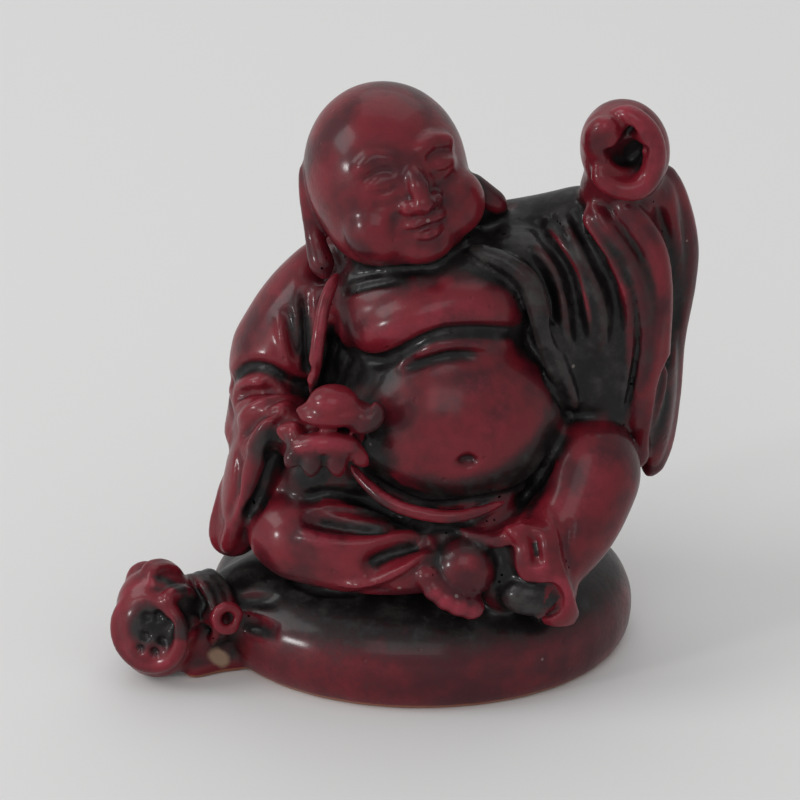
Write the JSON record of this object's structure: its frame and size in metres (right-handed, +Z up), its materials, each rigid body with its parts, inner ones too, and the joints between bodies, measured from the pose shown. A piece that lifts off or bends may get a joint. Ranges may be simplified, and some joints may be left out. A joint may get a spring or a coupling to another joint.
{
  "type": "seated monk figurine",
  "caption": "Small cast-resin figurine of a seated monk on a tied cloth sack, one hand raised and the other holding an ingot, with a flat underside to rest on.",
  "frame": {"origin": "on the ground under the middle of the figurine's bounding box", "axes": "+Z up; the figure faces -Y; +X is to the right of someone who looks at its face, on the side of the raised hand"},
  "size_m": [0.0495, 0.0294, 0.0498],
  "materials": {
    "rubbed_red_resin": "satin crimson resin with a near-black antiquing wash left in the hollows",
    "washed_dark_resin": "the same resin where the near-black wash covers nearly all of it",
    "bare_resin": "unpainted tan resin, where the mould flash was left"
  },
  "bodies": {
    "root": {"sack_body": "rubbed_red_resin", "torso": "rubbed_red_resin", "head": "rubbed_red_resin", "right_ear": "rubbed_red_resin", "left_ear": "rubbed_red_resin", "waistband": "rubbed_red_resin", "left_leg": "rubbed_red_resin", "right_leg": "rubbed_red_resin", "right_foot": "rubbed_red_resin", "left_foot": "washed_dark_resin", "trouser_hem": "rubbed_red_resin", "robe_back": "rubbed_red_resin", "right_shoulder": "rubbed_red_resin", "right_lapel": "rubbed_red_resin", "right_sleeve": "rubbed_red_resin", "right_sleeve_hem": "rubbed_red_resin", "right_hand": "rubbed_red_resin", "ingot": "rubbed_red_resin", "left_shoulder": "washed_dark_resin", "left_lapel": "washed_dark_resin", "left_panel": "washed_dark_resin", "left_hand": "rubbed_red_resin", "sleeve_near_hem": "rubbed_red_resin", "sleeve_far_hem": "rubbed_red_resin", "sleeve_back": "washed_dark_resin", "sack_neck": "washed_dark_resin", "tie_cord": "washed_dark_resin", "sack_mouth": "rubbed_red_resin", "mould_flash": "bare_resin", "tie_loop": "rubbed_red_resin"}
  },
  "joints": []
}
